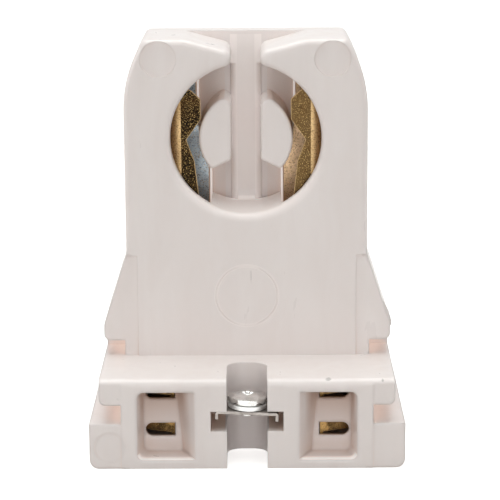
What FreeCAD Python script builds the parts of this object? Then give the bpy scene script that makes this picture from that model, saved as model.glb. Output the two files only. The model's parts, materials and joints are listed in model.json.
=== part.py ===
"""Lamp holder for a two-pin fluorescent tube, tall pedestal form.

Frame: +Z up, millimetres, origin in the middle of the base's underside. The lamp side faces -Y.
A moulded housing and its moulded back cover hold two folded contact strips. The base has a channel
with a T-slot, in which a nut plate rides on a short screw with a spring washer.
"""

import FreeCAD, Part
import Sketcher
import math
import os

FRONT = "XZ_Plane"
SIDE = "YZ_Plane"
FLOOR = "XY_Plane"
START, END, CENTRE = 1, 2, 3
TINY = 1e-9
NEAR = 0.02
LONG = 1.0
RUN_OUT = 1.0

DIMENSIONS = {
    # Lamp socket, set by the two-pin cap: pins 12.7 apart and 2.35 thick
    "lamp_height": 33.2,
    "track_radius": 8.02,
    "pin_circle_radius": 6.35,
    "island_radius": 5.0,
    "island_drop": 0.2,
    "island_face": 2.0,
    "island_gap_half": 1.56,
    "island_foot_drop": 2.5,
    "island_foot_half": 3.7,
    "island_round": 0.9,
    "island_foot_round": 0.4,
    "island_edge_round": 0.35,
    "island_strip_gap": 0.15,
    "entry_half": 1.55,
    "entry_mouth_half": 6.4,
    "entry_throat_drop": 1.3,
    "lip_round": 0.7,
    "throat_round": 1.0,
    "socket_ramp": 1.2,
    # Upper body outline
    "crown_rise": 10.6,
    "body_half": 12.9,
    "shoulder_drop": 7.6,
    "shoulder_radius": 14.0,
    "top_corner_round": 0.8,
    "front_edge_round": 0.65,
    "wing_start": 20.8,
    "wing_knee": 13.1,
    "wing_bottom": 11.3,
    "knee_round": 1.2,
    "wing_flare": 2.5,
    "step_half": 11.7,
    "step_depth": 0.18,
    "step_top_room": 0.1,
    # Depths, front to back
    "base_front": 9.3,
    "split_plane": 7.8,
    "back_plane": 10.4,
    "front_wall": 1.5,
    # Base
    "shelf_height": 9.65,
    "shelf_round": 0.8,
    "flange_reach": 1.1,
    "flange_height": 4.85,
    "flange_corner_round": 1.0,
    "groove_reach": 2.25,
    "low_groove_top": 6.9,
    "low_groove_depth": 8.1,
    "high_groove_depth": 4.6,
    "lobe_recess": 0.08,
    "lobe_round": 0.7,
    # Wire wells and slots
    "well_inner": 5.4,
    "well_outer": 11.5,
    "well_low": 0.95,
    "well_high": 8.3,
    "well_depth": 3.2,
    "well_floor_inner_low": 6.8,
    "well_floor_inner_high": 7.5,
    "well_floor_outer": 10.97,
    "well_floor_high": 8.1,
    "well_corner_round": 0.7,
    "slot_inner": 7.6,
    "slot_outer": 10.74,
    "slot_height": 1.45,
    "slot_low_centre": 3.3,
    "slot_spacing": 4.1,
    # Contact chambers
    "terminal_inner": 7.45,
    "terminal_outer": 11.2,
    "terminal_low": 1.5,
    "terminal_high": 8.7,
    "terminal_front": 5.6,
    "chamber_inner": 3.7,
    "chamber_outer": 8.3,
    "chamber_fall": 9.2,
    "chamber_rise": 7.05,
    "chamber_overlap": 1.0,
    "cover_floor": 0.8,
    "column_half": 1.65,
    "column_round": 0.7,
    "rib_width": 0.25,
    "rib_top_place": 5.1,
    "rib_low_place": 3.75,
    "rib_proud": 0.55,
    "rib_top_rise": 2.8,
    "rib_low_fall": 2.2,
    # Folded contact strip
    "strip": 0.35,
    "web_outside": 8.05,
    "bend_radius": 1.05,
    "flange_face": 1.8,
    "flange_top_rise": 5.5,
    "flange_top_inner": 5.75,
    "flange_corner_rise": 4.95,
    "edge_high": 4.8,
    "edge_high_top_rise": 4.05,
    "edge_high_low_rise": 1.9,
    "notch_fall": 0.3,
    "edge_low": 5.5,
    "edge_low_top_fall": 2.6,
    "edge_foot": 5.1,
    "edge_foot_fall": 6.0,
    "strip_end_room": 0.5,
    "back_strip_play": 0.06,
    "back_edge_high": 5.45,
    "back_edge_low": 4.1,
    "neck_front": 3.4,
    "neck_back": 7.0,
    "leg_front": 5.25,
    "leg_low": 1.9,
    "leg_high": 8.4,
    "tongue_tip": 10.9,
    "tongue_reach": 1.2,
    "tongue_thickness": 0.3,
    "tongue_root": 0.45,
    "tongue_width": 1.25,
    # Locating pegs of the cover
    "peg_radius": 1.0,
    "peg_length": 3.0,
    "peg_side": 10.4,
    "peg_low": 14.2,
    "peg_high_rise": 0.8,
    "peg_play": 0.06,
    "peg_end_room": 0.3,
    # Screw channel, nut plate, washer and screw
    "channel_half": 2.12,
    "channel_depth": 6.5,
    "channel_round": 1.5,
    "tslot_half": 3.8,
    "tslot_low": 4.05,
    "tslot_high": 6.2,
    "tslot_depth": 6.0,
    "screw_setback": 2.35,
    "plate_half": 3.3,
    "plate_front_gap": 0.4,
    "plate_back_gap": 0.5,
    "plate_top_gap": 0.17,
    "plate_thickness": 0.3,
    "plate_tab": 0.9,
    "plate_bend": 0.35,
    "plate_tilt": 2.5,
    "washer_radius": 2.02,
    "washer_bore_play": 0.12,
    "washer_thickness": 0.45,
    "washer_rise": 0.12,
    "washer_turn": 0.94,
    "washer_gap": 0.02,
    "screw_radius": 1.25,
    "screw_play": 0.05,
    "screw_below_plate": 0.45,
    "screw_point": 0.3,
    "head_radius": 1.97,
    "head_height": 0.95,
    "head_side": 0.45,
    "head_gap": 0.02,
    "recess_width": 0.45,
    "recess_length": 2.2,
    "recess_depth": 0.6,
    # Marks that the mould leaves
    "pin_mark_radius": 1.9,
    "pin_mark_side": 9.15,
    "pin_mark_drop": 2.05,
    "pin_mark_depth": 0.25,
    "gate_ring_height": 16.25,
    "gate_ring_radius": 3.35,
    "gate_ring_width": 0.12,
    "gate_ring_depth": 0.05,
    "lobe_mark_side": 14.4,
    "lobe_mark_height": 2.3,
    "lobe_mark_radius": 1.6,
    "lobe_mark_depth": 0.08,
    "back_edge_break": 0.3,
}


class Size:
    """A length that knows its value and the sheet expression that gives it."""

    def __init__(self, value, text):
        self.value = value
        self.text = text

    def _join(self, other, sign, value):
        return Size(value, "(%s %s %s)" % (self.text, sign, other.text))

    def __add__(self, other):
        other = size(other)
        return self._join(other, "+", self.value + other.value)

    def __sub__(self, other):
        other = size(other)
        return self._join(other, "-", self.value - other.value)

    def __mul__(self, other):
        other = size(other)
        return self._join(other, "*", self.value * other.value)

    def __neg__(self):
        return Size(-self.value, self.text and "(0 - %s)" % self.text)

    __radd__ = __add__
    __rmul__ = __mul__


def free(value):
    """A starting value for a coordinate that the sketch's other constraints settle."""
    return Size(value, None)


def size(number):
    """The number as a Size."""
    return number if isinstance(number, Size) else Size(float(number), "(%r)" % float(number))


class Sheet:
    """The driving dimensions, each an attribute that is a Size."""

    def __init__(self, doc):
        cells = doc.addObject("Spreadsheet::Sheet", "dims")
        cells.Label = "driving dimensions"
        for row, (alias, value) in enumerate(DIMENSIONS.items(), start=1):
            cells.set("A%d" % row, alias)
            cells.set("B%d" % row, str(value))
            cells.setAlias("B%d" % row, alias)
            setattr(self, alias, Size(value, "dims." + alias))
        lamp = self.lamp_height
        self.overall_height = lamp + self.crown_rise
        self.shoulder_start = self.overall_height - self.shoulder_drop
        self.pin_mark_height = self.overall_height - self.pin_mark_drop
        self.chamber_low, self.chamber_high = lamp - self.chamber_fall, lamp + self.chamber_rise
        self.rib_low_top_end, self.rib_top_low_end = lamp - self.rib_low_fall, lamp + self.rib_top_rise
        self.peg_high = lamp + self.peg_high_rise
        self.flange_top = lamp + self.flange_top_rise
        self.side_half = self.body_half + self.wing_flare
        self.flange_half = self.side_half + self.flange_reach
        self.groove_wall_half = self.side_half - self.groove_reach
        tilt = math.radians(self.plate_tilt.value)
        self.tilt_sin = Size(math.sin(tilt), "sin(dims.plate_tilt * 1 deg)")
        self.tilt_cos = Size(math.cos(tilt), "cos(dims.plate_tilt * 1 deg)")


def bind(thing, prop, length):
    """Ties a property to its expression."""
    thing.setExpression(prop, size(length).text)


def new_body(doc, label):
    body = doc.addObject("PartDesign::Body", label)
    body.Label = label
    return body


def origin_plane(body, role):
    return next(f for f in body.Origin.OriginFeatures if f.Role == role)


def put_point(sketch, geo, end, u, v):
    """Holds one end of an element at (u, v) from the sketch's origin; a free length is left to the solver."""
    for kind, length, axis in (("DistanceX", u, -2), ("DistanceY", v, -1)):
        if length.text is None:
            continue
        if abs(length.value) < TINY:
            sketch.addConstraint(Sketcher.Constraint("PointOnObject", geo, end, axis))
            continue
        index = sketch.addConstraint(Sketcher.Constraint(kind, -1, 1, geo, end, length.value))
        bind(sketch, "Constraints[%d]" % index, length)


class Arc:
    """The stretch from one corner to the next, round a centre; a radius is given where both ends leave it open."""

    def __init__(self, u, v, radius=None, clockwise=False):
        self.u = size(u)
        self.v = size(v)
        self.radius = radius
        self.clockwise = clockwise

    def geometry(self, start, end):
        first, last = (end, start) if self.clockwise else (start, end)
        centre = FreeCAD.Vector(self.u.value, self.v.value, 0)
        angles = [math.atan2(p[1].value - centre.y, p[0].value - centre.x) for p in (first, last)]
        radius = math.hypot(first[0].value - centre.x, first[1].value - centre.y)
        circle = Part.Circle(centre, FreeCAD.Vector(0, 0, 1), radius)
        return Part.ArcOfCircle(circle, angles[0], angles[1])

    def hold(self, sketch, geo):
        put_point(sketch, geo, CENTRE, self.u, self.v)
        if self.radius is not None:
            index = sketch.addConstraint(Sketcher.Constraint("Radius", geo, self.radius.value))
            bind(sketch, "Constraints[%d]" % index, self.radius)


def rounding(u, v, radius, clockwise=False):
    """The arc of a rounded corner: its ends and radius fix it, so the centre is only a starting value."""
    return Arc(free(size(u).value), free(size(v).value), size(radius), clockwise)


def draw_loop(sketch, corners):
    """A closed loop. Each corner is (u, v), or (u, v, Arc) where an arc leads on to the next corner."""
    points = [(size(c[0]), size(c[1])) for c in corners]
    ends = []
    for corner, start, end in zip(corners, points, points[1:] + points[:1]):
        arc = corner[2] if len(corner) > 2 else None
        if arc:
            geo = sketch.addGeometry(arc.geometry(start, end), False)
            arc.hold(sketch, geo)
            first, last = (END, START) if arc.clockwise else (START, END)
        else:
            vectors = [FreeCAD.Vector(p[0].value, p[1].value, 0) for p in (start, end)]
            geo = sketch.addGeometry(Part.LineSegment(*vectors), False)
            first, last = START, END
        put_point(sketch, geo, first, *start)
        ends.append((geo, first, last))
    for here, there in zip(ends, ends[1:] + ends[:1]):
        sketch.addConstraint(Sketcher.Constraint("Coincident", here[0], here[2], there[0], there[1]))


def draw_circle(sketch, u, v, radius):
    centre = FreeCAD.Vector(u.value, v.value, 0)
    geo = sketch.addGeometry(Part.Circle(centre, FreeCAD.Vector(0, 0, 1), radius.value), False)
    put_point(sketch, geo, CENTRE, u, v)
    index = sketch.addConstraint(Sketcher.Constraint("Radius", geo, radius.value))
    bind(sketch, "Constraints[%d]" % index, radius)


def draw(body, name, role, level, loops):
    """A sketch on a plane parallel to one of the body's own, at the given level along the frame's axis."""
    sketch = body.newObject("Sketcher::SketchObject", name)
    sketch.AttachmentSupport = (origin_plane(body, role), [""])
    sketch.MapMode = "FlatFace"
    bind(sketch, "AttachmentOffset.Base.z", -size(level) if role == FRONT else size(level))
    for loop in loops:
        if isinstance(loop, list):
            draw_loop(sketch, loop)
        else:
            draw_circle(sketch, *[size(x) for x in loop])
    return sketch


def prism(body, name, role, low, high, loops, cut=False):
    """Adds, or cuts, the loops carried from the low level to the high one. Loops on FRONT read (x, z)."""
    low, high = size(low), size(high)
    from_low = cut if role == FRONT else not cut
    profile = draw(body, name + "_sketch", role, low if from_low else high, loops)
    feature = body.newObject("PartDesign::Pocket" if cut else "PartDesign::Pad", name)
    feature.Profile = profile
    bind(feature, "Length", high - low)
    return feature


def box_loop(u0, u1, v0, v1):
    return [(u0, v0), (u1, v0), (u1, v1), (u0, v1)]


def flip(loop):
    """The loop mirrored left to right."""
    if isinstance(loop, tuple):
        return (-size(loop[0]), loop[1], loop[2])
    turned = []
    for corner in loop:
        arc = corner[2:] and Arc(-corner[2].u, corner[2].v, corner[2].radius, not corner[2].clockwise)
        turned.append((-size(corner[0]), corner[1]) + ((arc,) if arc else ()))
    return turned


def both(*loops):
    """The loops and their mirror images."""
    return [side for loop in loops for side in (loop, flip(loop))]


def mirror(body, name, features):
    feature = body.newObject("PartDesign::Mirrored", name)
    feature.Originals = features
    feature.MirrorPlane = (origin_plane(body, SIDE), [""])
    body.Tip = feature
    return feature


def round_edges(body, name, radius, wanted):
    """Rounds those edges of the body so far that the test wants."""
    body.Document.recompute()
    tip = body.Tip
    names = ["Edge%d" % n for n, edge in enumerate(tip.Shape.Edges, start=1) if wanted(edge)]
    if not names:
        raise RuntimeError("%s found no edge to round" % name)
    feature = body.newObject("PartDesign::Fillet", name)
    feature.Base = (tip, names)
    bind(feature, "Radius", radius)
    return feature


def break_edges(body, name, width, wanted):
    """Cuts a flat bevel on those edges of the body so far that the test wants."""
    body.Document.recompute()
    tip = body.Tip
    names = ["Edge%d" % n for n, edge in enumerate(tip.Shape.Edges, start=1) if wanted(edge)]
    feature = body.newObject("PartDesign::Chamfer", name)
    feature.Base = (tip, names)
    bind(feature, "Size", width)
    return feature


def near(a, b):
    return abs(a - size(b).value) < NEAR


def along_y(edge):
    box = edge.BoundBox
    return box.XLength < NEAR and box.ZLength < NEAR and box.YLength > NEAR


def along_y_at(edge, *places):
    """True where the edge runs front to back through one of the (x, z) places, on either side."""
    box = edge.BoundBox
    return along_y(edge) and any(near(abs(box.XMin), x) and near(box.ZMin, z) for x, z in places)


def lies_at_y(edge, level):
    return near(edge.BoundBox.YMin, level) and near(edge.BoundBox.YMax, level)


def rear_outline(d):
    """The outline that housing and cover share: base sides, flared wings, straight body, round shoulders."""
    shoulder = Arc(d.body_half - d.shoulder_radius, d.shoulder_start)
    drop = d.overall_height.value - d.shoulder_start.value
    top_x = d.body_half.value - d.shoulder_radius.value + math.sqrt(d.shoulder_radius.value**2 - drop**2)
    right = [
        (d.side_half, 0),
        (d.side_half, d.wing_knee),
        (d.body_half, d.wing_start),
        (d.body_half, d.shoulder_start, shoulder),
        (free(top_x), d.overall_height),
    ]
    left = [
        (free(-top_x), d.overall_height, Arc(-shoulder.u, shoulder.v)),
        (-d.body_half, d.shoulder_start),
        (-d.body_half, d.wing_start),
        (-d.side_half, d.wing_knee),
        (-d.side_half, 0),
    ]
    return right + left


def socket_outline(d):
    """The lamp's way in: a funnel at the top, a throat and the round pin track."""
    above = d.overall_height + RUN_OUT
    rise = math.sqrt(d.track_radius.value**2 - d.entry_half.value**2)
    track_top = free(d.lamp_height.value + rise)
    track = Arc(0, d.lamp_height, d.track_radius, clockwise=True)
    throat = d.overall_height - d.entry_throat_drop
    return [
        (d.entry_mouth_half, above),
        (d.entry_mouth_half, d.overall_height),
        (d.entry_half, throat),
        (d.entry_half, track_top, track),
        (-d.entry_half, track_top),
        (-d.entry_half, throat),
        (-d.entry_mouth_half, d.overall_height),
        (-d.entry_mouth_half, above),
    ]


def chamber_loops(d):
    """The right contact's chamber as seen from the front: wide at the socket, a slit down to the terminals."""
    return [
        (d.chamber_inner, d.chamber_low),
        (d.terminal_inner, d.chamber_low),
        (d.terminal_inner, d.terminal_high - d.chamber_overlap),
        (d.chamber_outer, d.terminal_high - d.chamber_overlap),
        (d.chamber_outer, d.chamber_high),
        (d.chamber_inner, d.chamber_high),
    ]


def add_wells(body, d):
    """A funnel-shaped well at each side of the base with two wire slots in its floor."""
    rim = -d.base_front
    floor = rim + d.well_depth
    r = d.well_corner_round
    rim_loop = [
        (d.well_inner, d.well_low),
        (d.well_outer - r, d.well_low, rounding(d.well_outer - r, d.well_low + r, r)),
        (d.well_outer, d.well_low + r),
        (d.well_outer, d.well_high - r, rounding(d.well_outer - r, d.well_high - r, r)),
        (d.well_outer - r, d.well_high),
        (d.well_inner, d.well_high),
    ]
    floor_loop = [
        (d.well_floor_inner_low, d.well_low),
        (d.well_floor_outer - r, d.well_low, rounding(d.well_floor_outer - r, d.well_low + r, r)),
        (d.well_floor_outer, d.well_low + r),
        (d.well_floor_outer, d.well_floor_high - r, rounding(d.well_floor_outer - r, d.well_floor_high - r, r)),
        (d.well_floor_outer - r, d.well_floor_high),
        (d.well_floor_inner_high, d.well_floor_high),
    ]
    well = body.newObject("PartDesign::SubtractiveLoft", "wire_well")
    well.Profile = draw(body, "well_rim", FRONT, rim, [rim_loop])
    well.Sections = [draw(body, "well_floor", FRONT, floor, [floor_loop])]
    well.Ruled = True
    mirror(body, "wire_wells", [well])
    slots = []
    half = d.slot_height * 0.5
    for centre in (d.slot_low_centre, d.slot_low_centre + d.slot_spacing):
        low, high = centre - half, centre + half
        slots.append([
            (d.slot_inner, low),
            (d.slot_outer - half, low, Arc(d.slot_outer - half, centre)),
            (d.slot_outer - half, free(high.value)),
            (d.slot_inner, high),
        ])
    prism(body, "wire_slots", FRONT, floor, -d.terminal_front, both(*slots), cut=True)


def middle_shift(d):
    """The modelling plane y = 0 is the upper body's front; this brings the holder's middle there."""
    return (d.base_front - d.back_plane) * 0.5


def centre(body, d):
    """Moves a body from the modelling planes to the part's frame."""
    bind(body, "Placement.Base.y", middle_shift(d))


def make_housing(doc, d):
    """Front moulding: upper body, shelf and base in one piece, open at the back."""
    body = new_body(doc, "housing")
    front = -d.base_front
    prism(body, "upper_body", FRONT, 0, d.split_plane, [rear_outline(d)])
    prism(body, "base_block", FRONT, front, 0, [box_loop(-d.side_half, d.side_half, 0, d.shelf_height)])
    prism(body, "flange", FRONT, front, d.split_plane, [box_loop(-d.flange_half, d.flange_half, 0, d.flange_height)])
    round_edges(body, "flange_corners", d.flange_corner_round, lambda e: along_y_at(e, (d.flange_half, 0)))
    round_edges(body, "knees", d.knee_round, lambda e: along_y_at(e, (d.side_half, d.wing_knee)))
    top = d.overall_height
    round_edges(body, "top_corners", d.top_corner_round, lambda e: along_y(e) and near(e.BoundBox.ZMin, top))
    round_edges(
        body, "shelf_edge", d.shelf_round,
        lambda e: lies_at_y(e, front) and near(e.BoundBox.ZMin, d.shelf_height) and e.BoundBox.XLength > LONG,
    )
    prism(body, "lamp_socket", FRONT, 0, d.split_plane, [socket_outline(d)], cut=True)
    add_socket_ramp(body, d)
    track_top = d.lamp_height.value + math.sqrt(d.track_radius.value**2 - d.entry_half.value**2)
    round_edges(body, "lips", d.lip_round, lambda e: along_y_at(e, (d.entry_half, track_top)))
    throat = d.overall_height - d.entry_throat_drop
    round_edges(body, "throat_corners", d.throat_round, lambda e: along_y_at(e, (d.entry_half, throat)))
    round_edges(
        body, "front_edge", d.front_edge_round,
        lambda e: lies_at_y(e, 0) and e.BoundBox.ZMin > d.wing_start.value - NEAR,
    )
    beyond = d.flange_half + RUN_OUT
    prism(
        body, "upper_grooves", FRONT, 0, d.high_groove_depth,
        both(box_loop(d.groove_wall_half, beyond, d.shelf_height, d.wing_bottom)), cut=True,
    )
    prism(
        body, "lower_grooves", FRONT, front, d.low_groove_depth - d.base_front,
        both(box_loop(d.groove_wall_half, beyond, d.flange_height, d.low_groove_top)), cut=True,
    )
    groove_edges = [(d.side_half, z) for z in (d.low_groove_top, d.wing_bottom)]
    round_edges(body, "lobe_corners", d.lobe_round, lambda e: along_y_at(e, *groove_edges))
    step_top = d.wing_start - d.step_top_room
    prism(
        body, "wing_step", FRONT, 0, d.step_depth,
        both(box_loop(d.step_half, beyond, d.shelf_height, step_top)), cut=True,
    )
    prism(
        body, "lobe_step", FRONT, front, front + d.lobe_recess,
        both(box_loop(d.groove_wall_half, beyond, 0, d.shelf_height)), cut=True,
    )
    add_wells(body, d)
    c, r = d.channel_half, d.channel_round
    back = front + d.channel_depth
    prism(body, "screw_channel", FLOOR, 0, d.shelf_height, [[
        (c, front - RUN_OUT),
        (c, back - r, rounding(c - r, back - r, r)),
        (c - r, back),
        (r - c, back, rounding(r - c, back - r, r)),
        (-c, back - r),
        (-c, front - RUN_OUT),
    ]], cut=True)
    prism(
        body, "plate_slot", FRONT, front, front + d.tslot_depth,
        [box_loop(-d.tslot_half, d.tslot_half, d.tslot_low, d.tslot_high)], cut=True,
    )
    prism(body, "contact_chambers", FRONT, d.front_wall, d.split_plane, both(chamber_loops(d)), cut=True)
    prism(
        body, "terminal_chambers", FRONT, -d.terminal_front, d.split_plane,
        both(box_loop(d.terminal_inner, d.terminal_outer, d.terminal_low, d.terminal_high)), cut=True,
    )
    pegs = [(d.peg_side, z, d.peg_radius + d.peg_play) for z in (d.peg_low, d.peg_high)]
    prism(
        body, "peg_holes", FRONT, d.split_plane - d.peg_length - d.peg_end_room, d.split_plane,
        both(*pegs), cut=True,
    )
    add_mould_marks(body, d)
    centre(body, d)
    return body


def add_socket_ramp(body, d):
    """A hollow fillet that leads from the pin track's floor up to the cover's column."""
    r, back = d.socket_ramp, d.split_plane
    floor = d.lamp_height - d.track_radius
    low = floor - r
    half = d.column_half - d.column_round
    prism(body, "socket_ramp", SIDE, -half, half, [[
        (back - r, low),
        (back, low),
        (back, floor + r, Arc(back - r, floor + r, clockwise=True)),
        (back - r, free(floor.value)),
    ]])


def add_mould_marks(body, d):
    """Shallow rounds where ejector pins and the gate met the front faces."""
    pins = both((d.pin_mark_side, d.pin_mark_height, d.pin_mark_radius))
    prism(body, "pin_marks", FRONT, 0, d.pin_mark_depth, pins, cut=True)
    front = -d.base_front + d.lobe_recess
    lobe = [(-d.lobe_mark_side, d.lobe_mark_height, d.lobe_mark_radius)]
    prism(body, "lobe_mark", FRONT, front, front + d.lobe_mark_depth, lobe, cut=True)
    ring = [
        (0, d.gate_ring_height, d.gate_ring_radius),
        (0, d.gate_ring_height, d.gate_ring_radius - d.gate_ring_width),
    ]
    prism(body, "gate_ring", FRONT, 0, d.gate_ring_depth, ring, cut=True)


def island_loop(d):
    """Right island: straight towards the slot, round outside, cut off slantwise at its foot."""
    middle = d.lamp_height - d.island_drop
    curve = Arc(0, middle, d.island_radius)
    rise = [math.sqrt(d.island_radius.value**2 - x.value**2) for x in (d.island_foot_half, d.island_gap_half)]
    return [
        (d.island_gap_half, d.lamp_height - d.island_foot_drop),
        (d.island_foot_half, free(middle.value - rise[0]), curve),
        (d.island_gap_half, free(middle.value + rise[1])),
    ]


def make_cover(doc, d):
    """Back moulding: closes the chambers and carries the column and the two islands of the socket."""
    body = new_body(doc, "back_cover")
    floor = d.split_plane + d.cover_floor
    prism(body, "plate", FRONT, d.split_plane, d.back_plane, [rear_outline(d)])
    low = box_loop(-d.flange_half, d.flange_half, 0, d.flange_height)
    prism(body, "flange", FRONT, d.split_plane, d.back_plane, [low])
    round_edges(body, "flange_corners", d.flange_corner_round, lambda e: along_y_at(e, (d.flange_half, 0)))
    round_edges(body, "knees", d.knee_round, lambda e: along_y_at(e, (d.side_half, d.wing_knee)))
    top = d.overall_height
    round_edges(body, "top_corners", d.top_corner_round, lambda e: along_y(e) and near(e.BoundBox.ZMin, top))
    break_edges(body, "back_edge", d.back_edge_break, lambda e: lies_at_y(e, d.back_plane))
    floors = box_loop(d.column_half, d.chamber_outer, d.chamber_low, d.chamber_high)
    prism(body, "floors", FRONT, d.split_plane, floor, both(floors), cut=True)
    round_edges(
        body, "column_sides", d.column_round,
        lambda e: lies_at_y(e, d.split_plane) and near(abs(e.BoundBox.XMin), d.column_half)
        and e.BoundBox.ZLength > LONG,
    )
    prism(body, "islands", FRONT, d.island_face, floor, both(island_loop(d)))
    foot = d.lamp_height - d.island_foot_drop
    round_edges(
        body, "island_crowns", d.island_round,
        lambda e: along_y(e) and near(abs(e.BoundBox.XMin), d.island_gap_half) and e.BoundBox.ZMin > d.lamp_height.value,
    )
    round_edges(
        body, "island_feet", d.island_foot_round,
        lambda e: along_y(e) and near(e.BoundBox.YMin, d.island_face) and e.BoundBox.ZMin < foot.value + NEAR,
    )
    round_edges(body, "island_faces", d.island_edge_round, lambda e: lies_at_y(e, d.island_face))
    ribs = [
        box_loop(d.rib_low_place, d.rib_low_place + d.rib_width, d.chamber_low, d.rib_low_top_end),
        box_loop(d.rib_top_place, d.rib_top_place + d.rib_width, d.rib_top_low_end, d.chamber_high),
    ]
    prism(body, "ribs", FRONT, floor - d.rib_proud, floor, both(*ribs))
    pegs = [(d.peg_side, z, d.peg_radius) for z in (d.peg_low, d.peg_high)]
    prism(body, "pegs", FRONT, d.split_plane - d.peg_length, d.split_plane, both(*pegs))
    centre(body, d)
    return body


def make_contact(doc, d, label, side):
    """One folded strip: front flange with the pin's notch, round bends, web, back flange, leg and two tongues."""

    def sided(loop):
        return loop if side > 0 else flip(loop)

    def strip_prism(name, role, low, high, loop):
        return prism(body, name, role, low, high, [sided(loop)])

    body = new_body(doc, label)
    low = d.chamber_low + d.strip_end_room
    fold = d.web_outside - d.bend_radius
    front_bend = d.flange_face + d.bend_radius
    back_face = d.split_plane + d.cover_floor - d.back_strip_play
    back_bend = back_face - d.bend_radius
    web = [
        (-d.leg_front, d.leg_low),
        (d.neck_back, d.leg_low),
        (d.neck_back, low),
        (back_bend, low),
        (back_bend, d.flange_top),
        (front_bend, d.flange_top),
        (front_bend, low),
        (d.neck_front, low),
        (d.neck_front, d.leg_high),
        (-d.leg_front, d.leg_high),
    ]
    inside = d.web_outside - d.strip
    limits = (inside, d.web_outside) if side > 0 else (-d.web_outside, -inside)
    prism(body, "web", SIDE, *limits, [web])
    for name, level, face, turn in (("front_bend", front_bend, d.flange_face, 1), ("back_bend", back_bend, back_face, -1)):
        inner_face = face + d.strip * turn
        strip_prism(name, FLOOR, low, d.flange_top, [
            (fold, face, rounding(fold, level, d.bend_radius, clockwise=turn < 0)),
            (d.web_outside, level),
            (inside, level, rounding(fold, level, d.bend_radius - d.strip, clockwise=turn > 0)),
            (fold, inner_face),
        ])
    strip_prism("front_flange", FRONT, d.flange_face, d.flange_face + d.strip, [
        (fold, low),
        (d.edge_foot, low),
        (d.edge_foot, d.lamp_height - d.edge_foot_fall),
        (d.edge_low, d.lamp_height - d.edge_low_top_fall),
        (d.pin_circle_radius, d.lamp_height - d.notch_fall),
        (d.edge_high, d.lamp_height + d.edge_high_low_rise),
        (d.edge_high, d.lamp_height + d.edge_high_top_rise),
        (d.flange_top_inner, d.lamp_height + d.flange_corner_rise),
        (fold, d.flange_top),
    ])
    middle = d.lamp_height - d.island_drop
    bow = d.island_radius + d.island_strip_gap
    bow_foot = free(middle.value - math.sqrt(bow.value**2 - d.back_edge_low.value**2))
    strip_prism("back_flange", FRONT, back_face - d.strip, back_face, [
        (fold, low),
        (d.back_edge_low, low),
        (d.back_edge_low, bow_foot, Arc(0, middle)),
        (bow, middle),
        (d.back_edge_high, d.rib_top_low_end),
        (d.back_edge_high, d.flange_top),
        (fold, d.flange_top),
    ])
    for number, middle in enumerate((d.slot_low_centre, d.slot_low_centre + d.slot_spacing), start=1):
        half = d.tongue_width * 0.5
        strip_prism("tongue_%d" % number, FLOOR, middle - half, middle + half, [
            (inside, d.tongue_root - d.leg_front),
            (inside, -d.leg_front),
            (d.web_outside, -d.leg_front),
            (d.tongue_tip, d.tongue_reach - d.leg_front),
            (d.tongue_tip - d.tongue_thickness, d.tongue_reach - d.leg_front + d.tongue_thickness),
        ])
    centre(body, d)
    return body


def screw_place(d):
    return d.screw_setback - d.base_front


def plate_top(d):
    return d.tslot_high - d.plate_top_gap


def lean(body, rise, y, d):
    """Puts a body on the loose plate's leaning axis: its own z = 0 lies a given rise above the plate's top."""
    body.Placement.Rotation = FreeCAD.Rotation(FreeCAD.Vector(0, 1, 0), d.plate_tilt.value)
    bind(body, "Placement.Rotation.Angle", d.plate_tilt)
    bind(body, "Placement.Base.x", rise * d.tilt_sin)
    bind(body, "Placement.Base.y", y + middle_shift(d))
    bind(body, "Placement.Base.z", plate_top(d) + rise * d.tilt_cos)


def make_nut_plate(doc, d):
    """Threaded plate that lies loose in the T-slot, its two ends bent down; modelled from its top face."""
    body = new_body(doc, "nut_plate")
    top = size(0)
    outside, r, thick = d.plate_half, d.plate_bend, d.plate_thickness
    foot, under = -d.plate_tab, -thick
    prism(body, "folded_plate", FRONT, d.plate_front_gap - d.base_front, d.tslot_depth - d.plate_back_gap - d.base_front, [[
        (-outside, foot),
        (-outside, -r, rounding(r - outside, -r, r, clockwise=True)),
        (r - outside, top),
        (outside - r, top, rounding(outside - r, -r, r, clockwise=True)),
        (outside, -r),
        (outside, foot),
        (outside - thick, foot),
        (outside - thick, under),
        (thick - outside, under),
        (thick - outside, foot),
    ]])
    hole = (0, screw_place(d), d.screw_radius + d.screw_play)
    prism(body, "screw_hole", FLOOR, under - RUN_OUT, top + RUN_OUT, [hole], cut=True)
    lean(body, top, size(0), d)
    return body


def axis_of(body):
    return (origin_plane(body, "Z_Axis"), [""])


def make_washer(doc, d):
    """Spring washer: a square wire wound almost one turn, its ends a small step apart."""
    body = new_body(doc, "spring_washer")
    bore = d.screw_radius + d.washer_bore_play
    wire = draw(body, "wire_section", SIDE, 0, [box_loop(bore, d.washer_radius, 0, d.washer_thickness)])
    turn = body.newObject("PartDesign::AdditiveHelix", "one_turn")
    turn.Profile = wire
    turn.ReferenceAxis = axis_of(body)
    turn.Mode = "height-turns-angle"
    bind(turn, "Height", d.washer_rise)
    bind(turn, "Turns", d.washer_turn)
    turn.LeftHanded = True
    lean(body, d.washer_gap, screw_place(d), d)
    return body


def head_rise(d):
    """From the plate's top to the underside of the screw's head."""
    return d.washer_gap + d.washer_thickness + d.washer_rise + d.head_gap


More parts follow.
